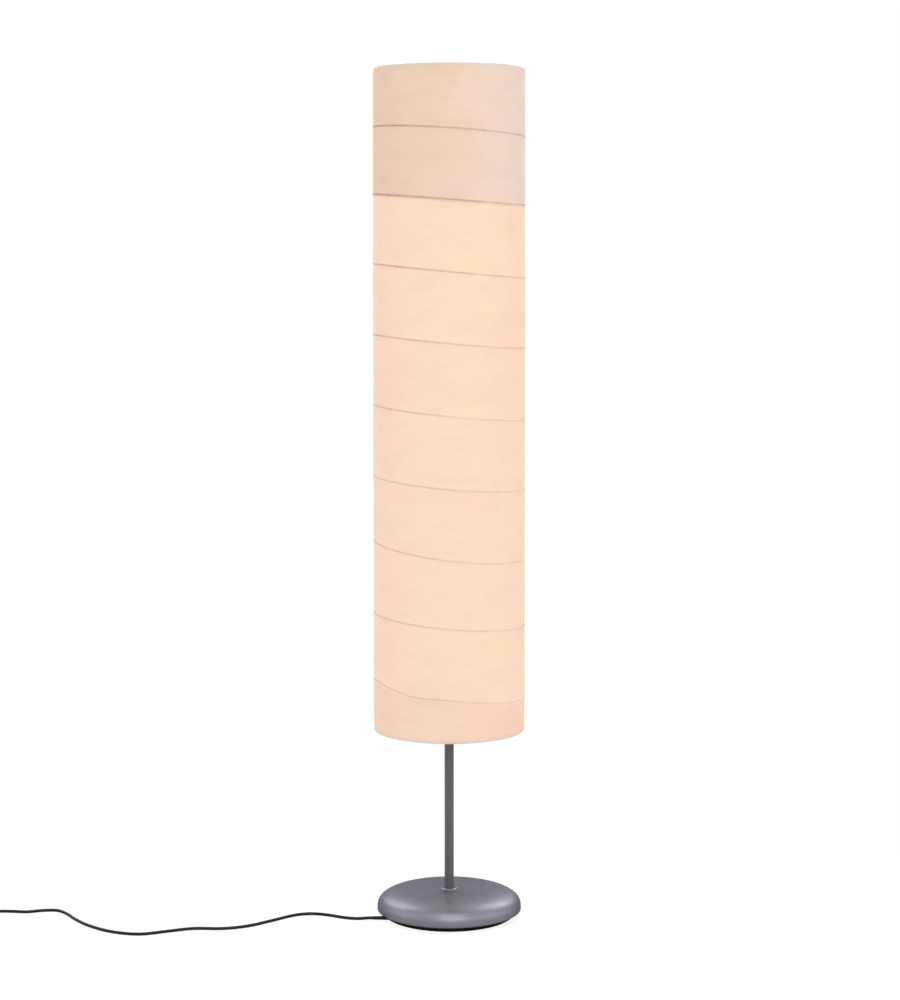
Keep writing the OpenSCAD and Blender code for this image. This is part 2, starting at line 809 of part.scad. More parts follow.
module shade_nut() {
    flats = [
        for (k = [0 : 2 * knurl_count - 1])
            let (a = 180 * k / knurl_count)
            (shade_nut_r - (k % 2) * knurl_depth) * [cos(a), sin(a)]
    ];
    color(raw_brass) difference() {
        union() {
            translate([0, 0, nut_low_z]) linear_extrude(shade_nut_h - shade_nut_cone_h) polygon(flats);
            translate([0, 0, nut_low_z + shade_nut_h - shade_nut_cone_h])
                cylinder(r1 = shade_nut_r - 1, r2 = shade_nut_r - 3, h = shade_nut_cone_h);
        }
        cylinder_between(stud_r + air, nut_low_z - 1, nut_low_z + far);
    }
}

// ---- what is drawn ------------------------------------------------------------------------

foot_pad();
base_plate();
plate_screws();
base_weight();
base_cover();
stem_washer();
stem_nut();
foot_collar();
stem_lower();
stem_middle();
stem_upper();
stem_couplers();
top_stud();
seat_washer();
light_arm(0);  // arm_low
light_arm(1);  // arm_middle
light_arm(2);  // arm_high
light_holder(0);  // holder_low
light_holder(1);  // holder_middle
light_holder(2);  // holder_high
holder_contacts();
collar_screws();
stem_wires();
shade_guide();
terminal_block();
inner_lead();
cord_clamp();
clamp_screws();
cord_gland();
cord_run();
switch_base();
switch_cover();
switch_button();
switch_spring();
cord_link();
cord_coil();
coil_tie();
cord_tail();
plug_body();
plug_pins();
bulb_cap(0);  // bulb_cap_low
bulb_globe(0);  // bulb_globe_low
bulb_cap(1);  // bulb_cap_middle
bulb_globe(1);  // bulb_globe_middle
bulb_cap(2);  // bulb_cap_high
bulb_globe(2);  // bulb_globe_high
top_frame();
low_rim();
wire_hoops();
shade_nut();
paper_band(0);  // paper_band_1
paper_band(1);  // paper_band_2
paper_band(2);  // paper_band_3
paper_band(3);  // paper_band_4
paper_band(4);  // paper_band_5
paper_band(5);  // paper_band_6
paper_band(6);  // paper_band_7
paper_band(7);  // paper_band_8
paper_band(8);  // paper_band_9
paper_band(9);  // paper_band_10
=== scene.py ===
"""Paper lantern floor lamp, dressed on its CAD frame. Metres; the origin is on the floor
under the stem, +Z is up, and someone in front of the lamp looks along +Y."""

from math import copysign, cos, exp, hypot, pi, radians, sin, tan, tau

import bmesh
import bpy
from mathutils import Matrix, Vector, noise


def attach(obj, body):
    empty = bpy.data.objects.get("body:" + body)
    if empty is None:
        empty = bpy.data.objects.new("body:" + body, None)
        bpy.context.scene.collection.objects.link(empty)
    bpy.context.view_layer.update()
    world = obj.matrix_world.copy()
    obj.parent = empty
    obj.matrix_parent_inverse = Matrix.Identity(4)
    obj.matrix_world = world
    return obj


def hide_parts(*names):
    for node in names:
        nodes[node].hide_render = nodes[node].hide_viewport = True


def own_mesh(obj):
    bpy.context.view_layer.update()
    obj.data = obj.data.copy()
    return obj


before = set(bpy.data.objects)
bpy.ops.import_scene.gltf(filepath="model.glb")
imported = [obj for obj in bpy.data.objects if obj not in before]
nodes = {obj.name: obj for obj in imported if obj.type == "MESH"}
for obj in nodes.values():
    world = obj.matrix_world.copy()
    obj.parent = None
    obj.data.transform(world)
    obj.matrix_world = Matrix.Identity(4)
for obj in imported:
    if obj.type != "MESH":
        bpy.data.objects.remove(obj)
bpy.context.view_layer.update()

# ---- camera ---------------------------------------------------------------------------------
# It stands 3.4 m in front of the lamp at the height of the shade's upper half and looks a
# little down. The shift sets the lamp in the frame without turning the camera further.

camera = bpy.data.objects.new("camera", bpy.data.cameras.new("camera"))
camera.location = (0.0012, -3.411, 0.968)
look_down = 0.0531
camera.rotation_euler = (radians(90) - look_down, 0, 0)
camera.data.sensor_width = 36
camera.data.lens = 84.56
camera.data.shift_y = -0.12
bpy.context.scene.collection.objects.link(camera)
bpy.context.scene.camera = camera

# ---- cord -----------------------------------------------------------------------------------
# A round black mains lead with a smooth sheath. It leaves the base low on its left, wanders
# over the floor to the foot switch, and its spare length lies past that in a tied coil.

cord_d = 0.0045
cord_exit = (-0.112, -0.038, 0.0046)
floor_gap = 0.00005
floor_z = cord_d / 2 + floor_gap
port_z = 0.006
link_z = 0.0032
switch_x = -0.732
coil_x, coil_y = -0.812, -0.036
coil_out_r = 0.036
coil_step = 0.005
coil_turns = 7.5
coil_points = 24
relief_x = -0.790
plug_y, plug_z = coil_y - coil_out_r, link_z + coil_step

over_floor = [
    (-0.154, -0.028, 0.0024), (-0.179, -0.014), (-0.203, -0.008), (-0.227, -0.016),
    (-0.257, -0.043), (-0.290, -0.071), (-0.325, -0.084), (-0.368, -0.084), (-0.404, -0.098),
    (-0.442, -0.112), (-0.484, -0.099), (-0.520, -0.069), (-0.545, -0.036), (-0.561, -0.009),
    (-0.578, 0.009), (-0.600, 0.009), (-0.621, 0.002), (-0.641, 0.004), (-0.660, 0.005),
]
through_switch = [
    (-0.674, 0.002, 0.0042), (-0.684, 0, port_z), (-0.690, 0, port_z), (-0.698, 0.002, port_z),
    (-0.711, 0.010, port_z), (-0.732, 0.0125, port_z), (-0.753, 0.010, port_z),
    (-0.766, 0.002, port_z), (-0.774, 0, port_z), (-0.780, 0, port_z), (-0.790, 0, 0.0046),
    (-0.8015, 0, link_z),
]


def coil_at(turn):
    """A point of the coil, which winds in, climbs to its upper layer, and winds out."""
    middle = coil_turns / 2
    radius = coil_out_r - coil_step * (middle - abs(turn - middle))
    climb = min(max(turn - middle + 0.25, 0) * 2, 1)
    climb = climb * climb * (3 - 2 * climb)
    return (coil_x - radius * sin(tau * turn), coil_y + radius * cos(tau * turn),
            link_z + coil_step * climb)


cord_route = [
    (cord_exit[0] + 0.0003, *cord_exit[1:]), (-0.118, -0.038, 0.0046), (-0.134, -0.036, 0.0031),
    *[(*p, floor_z)[:3] for p in over_floor], *through_switch, (coil_x + cord_d, 0, link_z),
    *[coil_at(i / coil_points) for i in range(int(coil_turns * coil_points) + 1)],
    (coil_x + cord_d, plug_y, plug_z), (relief_x, plug_y, plug_z), (-0.780, plug_y, plug_z),
]


def laid_tube(name, points, radius):
    """A tube along one smooth curve through the points, which never sinks into the floor."""
    line = bpy.data.curves.new(name, "CURVE")
    line.dimensions = "3D"
    line.resolution_u = 4
    line.bevel_depth = radius
    line.bevel_resolution = 6
    line.use_fill_caps = True
    spline = line.splines.new("BEZIER")
    spline.bezier_points.add(len(points) - 1)
    points = [Vector(p) for p in points]
    for i, knot in enumerate(spline.bezier_points):
        lean = (points[min(i + 1, len(points) - 1)] - points[max(i - 1, 0)]) / 6
        knot.co = points[i]
        for side, handle in ((-1, "handle_left"), (1, "handle_right")):
            at = points[i] + side * lean
            at.z = max(at.z, floor_z)
            setattr(knot, handle, at)
    tube = bpy.data.objects.new(name, line)
    bpy.context.scene.collection.objects.link(tube)
    return tube


class Signal:
    """One output of a material's nodes. Sums and products of signals add Math nodes."""

    def __init__(self, finish, socket):
        self.finish, self.socket = finish, socket

    def maths(self, operation, first, second):
        return self.finish.node("ShaderNodeMath", {"operation": operation}, {0: first, 1: second})

    def __add__(self, other):
        return self.maths("ADD", self, other)

    def __sub__(self, other):
        return self.maths("SUBTRACT", self, other)

    def __rsub__(self, other):
        return self.maths("SUBTRACT", other, self)

    def __mul__(self, other):
        return self.maths("MULTIPLY", self, other)

    __radd__, __rmul__ = __add__, __mul__


class Finish:
    """A material: one Principled shader with constants, and the nodes that feed it."""

    def __init__(self, name, **constants):
        self.material = bpy.data.materials.new(name)
        self.material.use_nodes = True
        self.shader = self.material.node_tree.nodes["Principled BSDF"]
        for socket, value in constants.items():
            self.shader.inputs[socket.replace("_", " ")].default_value = value
        self.place = self.node("ShaderNodeTexCoord", output="Object")

    def node(self, kind, settings=None, sockets=None, output=0):
        """Adds a node: its settings first, then the values or links of its sockets."""
        made = self.material.node_tree.nodes.new(kind)
        for name, value in (settings or {}).items():
            if name == "stops":
                ramp = made.color_ramp.elements
                for element, (position, colour) in zip(ramp, value):
                    element.position, element.color = position, (*colour, 1)
                for position, colour in value[2:]:
                    ramp.new(position).color = (*colour, 1)
            else:
                setattr(made, name, value)
        for name, value in (sockets or {}).items():
            if isinstance(value, Signal):
                self.material.node_tree.links.new(value.socket, made.inputs[name])
            else:
                made.inputs[name].default_value = value
        return Signal(self, made.outputs[output])

    def noise(self, scale, stretch=(1, 1, 1), detail=3, roughness=0.5):
        """Cloudy noise from 0 to 1, at so many features to the metre."""
        at = self.node("ShaderNodeMapping", None, {"Vector": self.place, "Scale": stretch})
        return self.node("ShaderNodeTexNoise", None, {
            "Vector": at, "Scale": scale, "Detail": detail, "Roughness": roughness})

    def ranged(self, value, start, end, low=0, high=1):
        """A value brought smoothly from start..end to low..high, and held there."""
        return self.node("ShaderNodeMapRange", {"interpolation_type": "SMOOTHSTEP"}, {
            "Value": value, "From Min": start, "From Max": end, "To Min": low, "To Max": high})

    def mixed(self, share, first, second, blend="MIX"):
        """A colour that goes from the first to the second as the share goes from 0 to 1, or
        with the blend MULTIPLY from the first to the first times the second."""
        pair = {6: first if isinstance(first, Signal) else (*first, 1),
                7: second if isinstance(second, Signal) else (*second, 1)}
        return self.node("ShaderNodeMix", {"data_type": "RGBA", "blend_type": blend},
                         {0: share, **pair}, output=2)

    def feed(self, **signals):
        """Links signals to the shader. Bump is a height in metres, for its Normal."""
        for socket, signal in signals.items():
            if socket == "Bump":
                socket, signal = "Normal", self.node(
                    "ShaderNodeBump", None, {"Height": signal, "Distance": 1.0})
            self.material.node_tree.links.new(
                signal.socket, self.shader.inputs[socket.replace("_", " ")])
        return self


def dress(piece, finish, slot, body, *stands_for):
    """Gives a piece its finish and its body, and hides the nodes it stands for. The slot is not
    used.
    """
    piece.data.materials.clear()
    piece.data.materials.append(finish.material)
    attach(piece, body)
    if stands_for:
        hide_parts(*stands_for)
    return piece


sheath = Finish("black_sheath", IOR=1.4, Specular_IOR_Level=0.3)
sheath_grain = sheath.noise(900)
sheath.feed(
    Base_Color=sheath.mixed(sheath.noise(14), (0.004, 0.004, 0.005), (0.009, 0.009, 0.010)),
    Roughness=sheath.ranged(sheath_grain, 0.3, 0.7, 0.38, 0.52),
    Bump=sheath_grain * 0.00004)

cord = laid_tube("cord", cord_route, cord_d / 2)
dress(cord, sheath, "cord", "stand", "cord_run", "cord_link", "cord_coil", "cord_tail")

# ---- cord sleeve ----------------------------------------------------------------------------
# A tapered rubber sleeve with five ribs takes the strain off the cord where it leaves the
# base. It is moulded on the cord and held by its plain end.


def settled(name, mesh, crease=35):
    """Makes a bmesh into a smooth-shaded object that keeps edges sharper than the crease."""
    data = bpy.data.meshes.new(name)
    mesh.to_mesh(data)
    mesh.free()
    data.shade_smooth()
    data.set_sharp_from_angle(angle=radians(crease))
    piece = bpy.data.objects.new(name, data)
    bpy.context.scene.collection.objects.link(piece)
    return piece


def turned(name, outline, place=Matrix(), steps=64, closed=False, crease=35, apart=None):
    """A piece turned on a lathe from its outline of radii and heights, then put in place.
    With apart, its two halves are drawn apart along X as far as that gives for a radius and a
    height, which makes an oblong piece. Its steps aren't a multiple of four then."""
    mesh = bmesh.new()
    line = [mesh.verts.new((r, 0, z)) for r, z in outline]
    ends = zip(line, line[1:] + line[:1]) if closed else zip(line, line[1:])
    edges = [mesh.edges.new(pair) for pair in ends]
    bmesh.ops.spin(mesh, geom=line + edges, cent=(0, 0, 0), axis=(0, 0, 1), angle=tau,
                   steps=steps, use_merge=True)
    bmesh.ops.remove_doubles(mesh, verts=mesh.verts, dist=1e-6)
    bmesh.ops.recalc_face_normals(mesh, faces=mesh.faces)
    if apart:
        for v in mesh.verts:
            radius = hypot(v.co.x, v.co.y)
            v.co.x += copysign(apart(radius, v.co.z), v.co.x) if radius > 1e-6 else 0
    bmesh.ops.transform(mesh, matrix=place, verts=mesh.verts)
    return settled(name, mesh, crease)


def ridged(radius_from, radius_to, start, end, count, groove):
    """The outline of a tapered sleeve with so many square ribs between two heights."""
    ribs, pitch = [], (end - start) / count
    for k in range(count):
        radius = radius_from + (radius_to - radius_from) * k / (count - 1)
        at = start + pitch * k
        ribs += [(radius, at), (radius, at + pitch * 0.62), (radius - groove, at + pitch * 0.68),
                 (radius - groove, at + pitch * 0.94)]
    return ribs


rubber = Finish("black_rubber", Specular_IOR_Level=0.25)
rubber.feed(
    Base_Color=rubber.mixed(rubber.noise(60), (0.005, 0.005, 0.006), (0.011, 0.011, 0.012)),
    Roughness=rubber.ranged(rubber.noise(500), 0.3, 0.7, 0.5, 0.66),
    Bump=rubber.noise(1500) * 0.00006)

cord_bore = 0.00235
sleeve_r, sleeve_l = 0.0029, 0.03
along_x = Matrix.Rotation(radians(90), 4, "Y")
sleeve_outline = [
    (cord_bore, 0), (0.00245, 0.0002), *ridged(0.00252, 0.00284, 0.0006, 0.0171, 5, 0.00022),
    (sleeve_r, 0.0176), (sleeve_r, sleeve_l), (cord_bore, sleeve_l),
]
sleeve = turned("cord_sleeve", sleeve_outline, Matrix.Translation(cord_exit) @ along_x,
                steps=32, closed=True)
dress(sleeve, rubber, "cord", "stand", "cord_gland")

# ---- foot switch ----------------------------------------------------------------------------
# An oblong black moulding in two halves, a tray and a hood, with the cord through both ends.
# Its round pedal has grip rings and stands on a zinc plated spring.

moulding = Finish("black_moulding", Specular_IOR_Level=0.28)
moulding_grain = moulding.noise(1400)
moulding.feed(
    Base_Color=moulding.mixed(moulding.noise(30), (0.009, 0.009, 0.010), (0.017, 0.017, 0.018)),
    Roughness=moulding.ranged(moulding_grain, 0.3, 0.7, 0.36, 0.5),
    Bump=moulding_grain * 0.00005)

at_switch = Matrix.Translation((switch_x, 0, 0))
switch_r, switch_in_r, switch_apart = 0.0200, 0.0180, 0.022
tray_h, tray_floor = 0.0070, 0.0020
switch_tray = turned("switch_tray", [
    (0, 0), (0.0186, 0), (0.0195, 0.0004), (switch_r, 0.0014), (switch_r, tray_h - 0.0004),
    (0.0196, tray_h), (0.0182, tray_h), (switch_in_r, tray_h - 0.0004), (switch_in_r, 0.0024),
    (0.0176, tray_floor), (0, tray_floor),
], at_switch, steps=90, apart=lambda radius, height: switch_apart)
dress(switch_tray, moulding, "moulding", "stand", "switch_base")

hood_low_z, hood_top_z, crown_z = 0.0072, 0.0200, 0.0118
crown_w, well_r, well_edge_r = 0.0048, 0.0133, 0.0146
hood_curve = [(switch_r - crown_w + crown_w * cos(radians(9 * k)),
               crown_z + (hood_top_z - crown_z) * sin(radians(9 * k))) for k in range(11)]
switch_hood = turned("switch_hood", [
    (0.0196, hood_low_z), (switch_r, 0.0076), *hood_curve, (0.0141, hood_top_z),
    (0.0135, 0.0198), (well_r, 0.0194), (well_r, 0.0178), (0.0142, 0.0178), (0.0150, 0.0176),
    (0.0168, 0.0156), (switch_in_r, crown_z), (switch_in_r, hood_low_z),
], at_switch, steps=90, closed=True,
    apart=lambda radius, height: switch_apart if radius > well_edge_r else 0)
dress(switch_hood, moulding, "moulding", "stand", "switch_cover")

pedal_r, pedal_low_z, pedal_top_z = 0.0129, 0.0142, 0.0241
groove_z = pedal_top_z - 0.0004
pedal_rings = []
for k in range(4):
    ring = 0.0104 - 0.0019 * k
    pedal_rings += [(ring, pedal_top_z), (ring - 0.0004, groove_z), (ring - 0.0009, groove_z),
                    (ring - 0.0013, pedal_top_z)]
pedal = turned("switch_pedal", [
    (0, pedal_low_z), (0.0125, pedal_low_z), (pedal_r, 0.0146), (pedal_r, 0.0220),
    (0.0127, 0.0230), (0.0122, 0.0237), (0.0114, pedal_top_z), *pedal_rings,
    (0.0030, 0.0240), (0, 0.0238),
], at_switch, steps=80)
dress(pedal, moulding, "moulding", "button", "switch_button")

for side, name in ((1, "right"), (-1, "left")):
    outline = [(cord_bore, 0.0405), (0.0045, 0.0405),
               *ridged(0.0042, 0.0033, 0.0418, 0.0486, 3, 0.0005), (cord_bore, 0.049)]
    facing = Matrix.Translation((switch_x, 0, port_z)) @ Matrix.Rotation(
        radians(90 * side), 4, "Y")
    collar = turned(f"switch_collar_{name}", outline, facing, steps=32, closed=True)
    dress(collar, moulding, "moulding", "stand")

zinc = Finish("bright_zinc", Metallic=1.0)
zinc.feed(
    Base_Color=zinc.mixed(zinc.noise(120), (0.55, 0.56, 0.58), (0.68, 0.69, 0.71)),
    Roughness=zinc.ranged(zinc.noise(500), 0.3, 0.7, 0.26, 0.42),
    Bump=zinc.noise(1800) * 0.00002)

spring_r, spring_wire_r, spring_turns = 0.0054, 0.0005, 5
spring_low_z, spring_rise = 0.0026, 0.0108
spring_steps = 28 * spring_turns
coils = bmesh.new()
wire = bmesh.ops.create_circle(
    coils, segments=10, radius=spring_wire_r, matrix=Matrix.Translation(
        (spring_r, 0, spring_low_z)) @ Matrix.Rotation(radians(90), 4, "X"))["verts"]
wire_loop = [*wire, *{edge for v in wire for edge in v.link_edges}]
bmesh.ops.spin(coils, geom=wire_loop, cent=(0, 0, 0), axis=(0, 0, 1),
               angle=tau * spring_turns, dvec=(0, 0, spring_rise / spring_steps),
               steps=spring_steps)
bmesh.ops.holes_fill(coils, edges=coils.edges)
bmesh.ops.recalc_face_normals(coils, faces=coils.faces)
bmesh.ops.transform(coils, matrix=at_switch, verts=coils.verts)
spring = settled("pedal_spring", coils)
dress(spring, zinc, "screw", "stand", "switch_spring")
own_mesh(spring)

# ---- coil strap -----------------------------------------------------------------------------
# A soft black band that holds the spare cord's turns together. It is wound once round the
# bundle and laps over its own start.

band = Finish("soft_band", Sheen_Weight=0.3)
band.feed(
    Base_Color=band.mixed(band.noise(900), (0.02, 0.02, 0.022), (0.05, 0.05, 0.055)),
    Roughness=band.ranged(band.noise(600), 0.3, 0.7, 0.7, 0.9),
    Bump=band.noise(2500, detail=1) * 0.0001)

strap_w, strap_t, strap_gap = 0.0078, 0.0006, 0.0001
strap_start, strap_reach, lap_start, lap_ramp = (radians(a) for a in (100, 425, 450, 8))
lap_rise = 0.0008
bundle_x, bundle_z, bundle_half_w = coil_x - 0.0266, link_z + coil_step / 2, 0.0094
strap = bmesh.new()
bmesh.ops.create_grid(strap, x_segments=96, y_segments=4, size=0.5)
for v in strap.verts:
    turn = strap_start + (v.co.x + 0.5) * strap_reach
    lap_over = min(max((turn - lap_start) / lap_ramp, 0), 1)
    round_r = cord_d / 2 + strap_gap + lap_rise * lap_over
    wide, tall = (min(max(part / 0.4, -1), 1) for part in (cos(turn), sin(turn)))
    v.co = (bundle_x + bundle_half_w * wide + round_r * cos(turn), coil_y + strap_w * v.co.y,
            bundle_z + coil_step / 2 * tall + round_r * sin(turn))
bmesh.ops.recalc_face_normals(strap, faces=strap.faces)
strap = settled("coil_strap", strap)
cloth = strap.modifiers.new("thickness", "SOLIDIFY")
cloth.thickness, cloth.offset = strap_t, 1
dress(strap, band, "tie", "stand", "coil_tie")

# ---- plug -----------------------------------------------------------------------------------
# A flat black plug, moulded on the cord's end: a ribbed neck, a body with grips on its faces,
# and two nickel plated pins that are sleeved at their roots.

plug_l, plug_half_t, neck_l = 0.0580, 0.0070, 0.0222
plug_spread = 0.0099


def plug_apart(radius, height):
    """The plug widens from its round neck to its flat body."""
    share = min(max((height - neck_l) / 0.0115, 0), 1)
    return plug_spread * share * share * (3 - 2 * share)


grip_r = plug_half_t - 0.0004
grips = []
for k in range(6):
    at = 0.0362 + 0.0026 * k
    grips += [(plug_half_t, at), (grip_r, at + 0.0004), (grip_r, at + 0.0011),
              (plug_half_t, at + 0.0015)]
upright = Matrix.Rotation(radians(90), 4, "Z")
plug = turned("flat_plug", [
    (0, 0), (0.0028, 0), *ridged(0.0031, 0.0048, 0.0008, 0.0208, 6, 0.0005), (0.0050, 0.0212),
    (0.0052, neck_l), (0.0056, 0.0232), (0.0064, 0.0262), (0.0069, 0.0300),
    (plug_half_t, 0.0330), *grips, (plug_half_t, 0.0558), (0.0068, 0.0570), (0.0062, 0.0578),
    (0.0054, plug_l), (0, plug_l),
], Matrix.Translation((relief_x, plug_y, plug_z)) @ along_x @ upright, steps=90,
    apart=plug_apart)
dress(plug, moulding, "moulding", "stand", "plug_body")

nickel = Finish("nickel_plate", Metallic=1.0)
nickel.feed(
    Base_Color=nickel.mixed(nickel.noise(80), (0.68, 0.66, 0.62), (0.76, 0.75, 0.72)),
    Roughness=nickel.ranged(nickel.noise(300), 0.3, 0.7, 0.16, 0.3))

pin_r, pin_l, pins_apart = 0.0019, 0.0190, 0.0190
pin_outline = [(0, -0.001), (pin_r, -0.001), (pin_r, 0.0170), (0.0017, 0.0181),
               (0.0012, 0.0188), (0.0006, pin_l), (0, pin_l)]
guard_in_r, guard_r, guard_l = 0.0018, 0.0020, 0.0098
guard_outline = [(guard_in_r, 0), (0.0023, 0), (guard_r, 0.0005), (guard_r, 0.0096),
                 (0.0019, guard_l), (guard_in_r, guard_l)]
pins = []
for side, name, stands_for in ((1, "left", ["plug_pins"]), (-1, "right", [])):
    root = Matrix.Translation(
        (relief_x + plug_l, plug_y + pins_apart / 2 * side, plug_z)) @ along_x
    pin = turned(f"plug_pin_{name}", pin_outline, root, steps=32)
    dress(pin, nickel, "pin", "stand", *stands_for)
    guard = turned(f"pin_sleeve_{name}", guard_outline, root, steps=32, closed=True)
    dress(guard, moulding, "moulding", "stand")
    pins += [pin, guard]

# ---- base cover -----------------------------------------------------------------------------
# A pebble-shaped steel cover with a satin grey lacquer, spun over a form. Its edge turns in
# over the plate under it, and the collar at the foot of the stem has the same lacquer.

base_r, base_h = 0.1055, 0.0385
waist_z = 0.0095
dome_power = 3.3
lip_r, lip_z = 0.0975, 0.007
cover_t = 0.0016
stem_r = 0.0068


def dome(radius, top, steps):
    """The cover's curve from its widest place up to the stem, a flattened quarter ellipse."""
    curve = []
    for k in range(steps + 1):
        a = radians(90) * k / steps
        curve.append((radius * cos(a) ** (2 / dome_power),
                      waist_z + (top - waist_z) * sin(a) ** (2 / dome_power)))
    return [p for p in curve if p[0] > stem_r + 0.0004] + [(stem_r + 0.0002, top)]


def turned_in(radius, low, steps):
    """The edge under the widest place, which rolls in to the lip."""
    quarter = [radians(90) * k / steps for k in range(steps)]
    return [(lip_r + (radius - lip_r) * sin(a), waist_z - (waist_z - low) * cos(a))
            for a in quarter]


cover_outline = turned_in(base_r, lip_z, 10) + dome(base_r, base_h, 60)
inner_outline = turned_in(base_r - cover_t, lip_z + cover_t, 6) + dome(
    base_r - cover_t, base_h - cover_t, 24)
cover = turned("base_cover_spun", cover_outline + inner_outline[::-1], steps=160, closed=True,
               crease=50)

lacquer = Finish("satin_grey_lacquer", IOR=1.4, Specular_Tint=(0.25, 0.25, 0.27, 1))
orange_peel = lacquer.noise(420, detail=2)
brushing = lacquer.noise(9, stretch=(1, 1.6, 1), detail=4)
lacquer.feed(
    Base_Color=lacquer.mixed(brushing, (0.190, 0.196, 0.223), (0.225, 0.228, 0.260)),
    Metallic=lacquer.ranged(brushing, 0.3, 0.7, 0.78, 0.86),
    Roughness=lacquer.ranged(lacquer.noise(90), 0.3, 0.7, 0.38, 0.46),
    Bump=orange_peel * 0.00003)
dress(cover, lacquer, "cover", "stand", "base_cover")


def dress_nodes(finish, *names):
    """Gives CAD nodes that keep their shape their finish."""
    for name in names:
        for slot in nodes[name].material_slots:
            slot.material = finish.material


dress_nodes(lacquer, "foot_collar")

# ---- base plate and weight ------------------------------------------------------------------
# A plate pressed from black sheet steel stands on a foam ring and carries a rough casting as
# a weight. Zinc-plated screws, a washer and a nut hold them to the cover and the stem.

black_steel = Finish("black_pressed_steel", Specular_IOR_Level=0.12)
black_steel.feed(
    Base_Color=black_steel.mixed(black_steel.noise(40), (0.004, 0.004, 0.005),
                                 (0.009, 0.009, 0.010)),
    Roughness=black_steel.ranged(black_steel.noise(250), 0.3, 0.7, 0.42, 0.58),
    Bump=black_steel.noise(700) * 0.00005)
dress_nodes(black_steel, "base_plate")

foam = Finish("foam_ring", Specular_IOR_Level=0.1)
foam.feed(
    Base_Color=foam.mixed(foam.noise(1200), (0.005, 0.005, 0.005), (0.014, 0.014, 0.015)),
    Roughness=foam.ranged(foam.noise(900), 0.3, 0.7, 0.8, 0.95),
    Bump=foam.noise(1800) * 0.0003)
dress_nodes(foam, "foot_pad")

casting = Finish("raw_casting")
casting.feed(
    Base_Color=casting.mixed(casting.noise(90), (0.03, 0.03, 0.033), (0.07, 0.065, 0.062)),
    Roughness=casting.ranged(casting.noise(400), 0.3, 0.7, 0.6, 0.8),
    Bump=casting.noise(500) * 0.0004)
dress_nodes(casting, "base_weight")
dress_nodes(zinc, "plate_screws", "stem_washer", "stem_nut")

# ---- wiring in the base ---------------------------------------------------------------------
# A moulded clamp with two screws holds the cord inside the base. From there the inner lead
# runs to an ivory terminal block.

ivory = Finish("ivory_moulding")
ivory.feed(
    Base_Color=ivory.mixed(ivory.noise(70), (0.58, 0.55, 0.47), (0.66, 0.63, 0.55)),
    Roughness=ivory.ranged(ivory.noise(500), 0.3, 0.7, 0.42, 0.55))
dress_nodes(ivory, "terminal_block")
dress_nodes(sheath, "inner_lead")
dress_nodes(moulding, "cord_clamp")
dress_nodes(zinc, "clamp_screws")

# ---- stem -----------------------------------------------------------------------------------
# Three steel tubes, end to end over inner couplers, in a darker grey lacquer than the base.
# The lights' arms and the guide of the shade's lower rim are clamped to them, and a stud with
# a washer carries the shade's hub.

stem_paint = Finish("stem_lacquer", IOR=1.4, Specular_IOR_Level=0.35)
# Vertical streaks of painted reflection run along the tubes, the arms and the guide.
painted_reflection_streaks = stem_paint.noise(1, stretch=(260, 260, 6), detail=2)
stem_paint.feed(
    Base_Color=stem_paint.mixed(painted_reflection_streaks, (0.092, 0.089, 0.094), (0.158, 0.152, 0.158)),
    Roughness=stem_paint.ranged(stem_paint.noise(120), 0.3, 0.7, 0.42, 0.55),
    Bump=stem_paint.noise(500) * 0.00003)
dress_nodes(stem_paint, "stem_lower", "stem_middle", "stem_upper", "arm_low", "arm_middle",
            "arm_high", "shade_guide")
dress_nodes(zinc, "stem_couplers", "top_stud", "seat_washer", "collar_screws")

# ---- lampholders ----------------------------------------------------------------------------
# Three black moulded holders stand on side arms, by turns to the right and the left. Each has
# five round ribs, a ring at its mouth and brass contacts, and white sleeving covers its wires.

first_light_z = 0.380
light_pitch = 0.240
light_reach = 0.038
light_names = ("low", "middle", "high")


def at_light(i, up=0):
    """Where a light's own axis meets its arm, or a height above that."""
    side = -1 if i % 2 else 1
    return Matrix.Translation((side * light_reach, 0, first_light_z + light_pitch * i + up))


def ridges(radius, depth, low, high, count):
    """An outline with rounded ridges, such as a rolled thread's."""
    steps = count * 8
    return [(radius - depth * (0.5 - 0.5 * cos(tau * count * k / steps)),
             low + (high - low) * k / steps) for k in range(steps + 1)]


skirt_r, ring_r, ring_top_z = 0.0126, 0.0146, 0.0360
holder_outline = [
    (0, 0.004), (0.0128, 0.004), (0.0136, 0.0048), (0.0136, 0.0128), (skirt_r, 0.014),
    *ridges(skirt_r, 0.0007, 0.015, 0.028, 5), (skirt_r, 0.0292), (0.0143, 0.0304),
    (ring_r, 0.0312), (ring_r, 0.0344), (0.0138, 0.0358), (0.0120, ring_top_z),
    (0.0092, ring_top_z), (0.0083, 0.0352), (0.0082, 0.014), (0, 0.014),
]

black_resin = Finish("black_holder", Specular_IOR_Level=0.35)
holder_grain = black_resin.noise(1600)
black_resin.feed(
    Base_Color=black_resin.mixed(black_resin.noise(50), (0.014, 0.014, 0.014),
                                 (0.026, 0.026, 0.026)),
    Roughness=black_resin.ranged(holder_grain, 0.3, 0.7, 0.34, 0.46),
    Bump=holder_grain * 0.00003)
for i, name in enumerate(light_names):
    holder = turned(f"lamp_holder_{name}", holder_outline, at_light(i), steps=72)
    dress(holder, black_resin, "holder", "stand", f"holder_{name}")

brass = Finish("raw_brass", Metallic=1.0)
brass.feed(
    Base_Color=brass.mixed(brass.noise(160), (0.66, 0.47, 0.20), (0.76, 0.58, 0.29)),
    Roughness=brass.ranged(brass.noise(500), 0.3, 0.7, 0.26, 0.42))
dress_nodes(brass, "holder_contacts")

